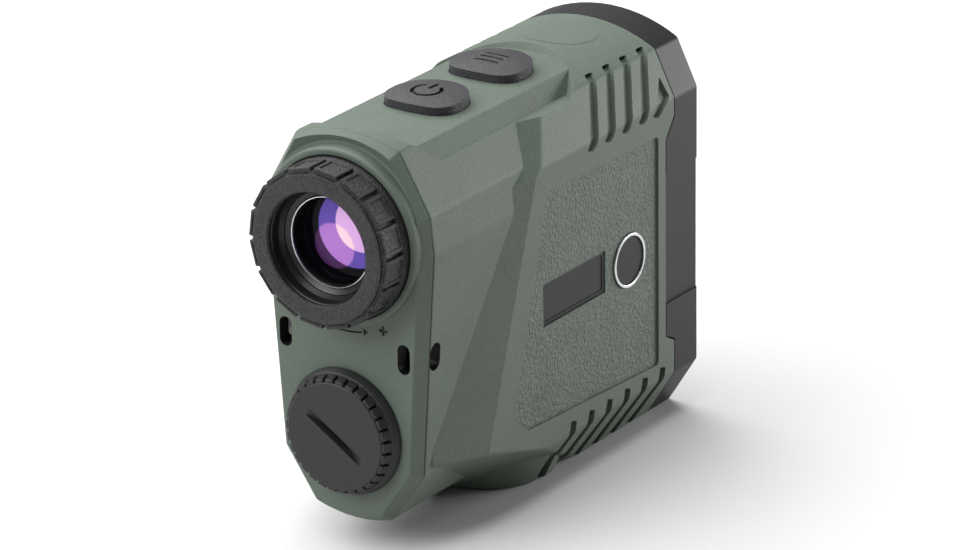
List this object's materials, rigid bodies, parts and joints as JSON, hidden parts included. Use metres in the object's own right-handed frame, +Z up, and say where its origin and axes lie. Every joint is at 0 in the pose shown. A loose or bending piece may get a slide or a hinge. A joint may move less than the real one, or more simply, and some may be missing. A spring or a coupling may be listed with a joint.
{
  "type": "laser rangefinder",
  "caption": "Upright handheld laser rangefinder with a turning eyecup, push buttons, a screw battery cap, two front lenses and a tripod socket.",
  "frame": {"origin": "mouth of the tripod socket, in the plane the rangefinder stands on", "axes": "+Z up, +Y forward to the objective lens, +X to the user's right when looking through the eyepiece"},
  "size_m": [0.04, 0.1, 0.0822],
  "materials": {
    "green_shell": "fine moulded grain, satin",
    "bezel_plastic": "smooth satin",
    "black_plastic": "fine matt",
    "cap_plastic": "smooth satin",
    "inner_plastic": "plain moulded",
    "button_rubber": "fine matt grain",
    "eyecup_rubber": "stippled matt",
    "seal_rubber": "plain",
    "bright_metal": "polished",
    "steel": "plain",
    "brass": "machined",
    "coated_glass": "purple anti-reflection coating",
    "circuit_board": "solder mask",
    "cell_jacket": "plain sleeve, no print"
  },
  "bodies": {
    "root": {"main_housing": "green_shell", "rear_cover": "green_shell", "front_bezel": "bezel_plastic", "nameplate_right": "black_plastic", "nameplate_left": "black_plastic", "badge_rim_right": "bright_metal", "badge_rim_left": "bright_metal", "badge_disc_right": "black_plastic", "badge_disc_left": "black_plastic", "button_gasket": "button_rubber", "switch_board": "circuit_board", "button_switches": "steel", "eyepiece_tube": "black_plastic", "battery_tube": "inner_plastic", "battery": "cell_jacket", "battery_spring": "steel", "objective_barrel": "inner_plastic", "objective_lens": "coated_glass", "objective_ring": "black_plastic", "emitter_barrel": "inner_plastic", "emitter_lens": "coated_glass", "emitter_ring": "black_plastic", "laser_diode": "brass", "prism_block": "coated_glass", "display_panel": "black_plastic", "detector_board": "circuit_board", "optical_chassis": "inner_plastic", "main_board": "circuit_board", "board_chips": "black_plastic", "tripod_insert": "brass", "chassis_screws": "steel", "cover_screws": "steel"},
    "power_button": {"power_button": "button_rubber"},
    "mode_button": {"mode_button": "button_rubber"},
    "eyecup": {"eyecup": "eyecup_rubber"},
    "lens_cell": {"lens_cell": "black_plastic", "eye_lens": "coated_glass", "field_lens": "coated_glass", "tube_oring": "seal_rubber"},
    "cap_contact": {"cap_contact": "steel"},
    "battery_cap": {"battery_cap": "cap_plastic", "cap_oring": "seal_rubber"}
  },
  "joints": [
    {"name": "power_press", "type": "slide", "parent": "root", "child": "power_button", "axis": [0, 0, -1], "range_m": [0, 0.0008], "stiffness_N_per_m": 2500},
    {"name": "mode_press", "type": "slide", "parent": "root", "child": "mode_button", "axis": [0, 0, -1], "range_m": [0, 0.0008], "stiffness_N_per_m": 2500},
    {"name": "diopter_turn", "type": "hinge", "parent": "root", "child": "eyecup", "pos_m": [0, -0.05, 0.0619], "axis": [0, -1, 0], "range_deg": [-120, 120]},
    {"name": "lens_focus", "type": "slide", "parent": "root", "child": "lens_cell", "axis": [0, -1, 0], "range_m": [-0.0015, 0.0015]},
    {"name": "cap_lift", "type": "slide", "parent": "root", "child": "cap_contact", "axis": [0, -1, 0], "range_m": [0, 0.0045]},
    {"name": "cap_turn", "type": "hinge", "parent": "cap_contact", "child": "battery_cap", "pos_m": [0, -0.047, 0.0232], "axis": [0, -1, 0], "range_deg": [0, 1080]}
  ],
  "couplings": [
    {"joint": "lens_focus", "follows": "diopter_turn", "m_per_rad": 0.000716},
    {"joint": "cap_lift", "follows": "cap_turn", "m_per_rad": 0.00023873}
  ]
}
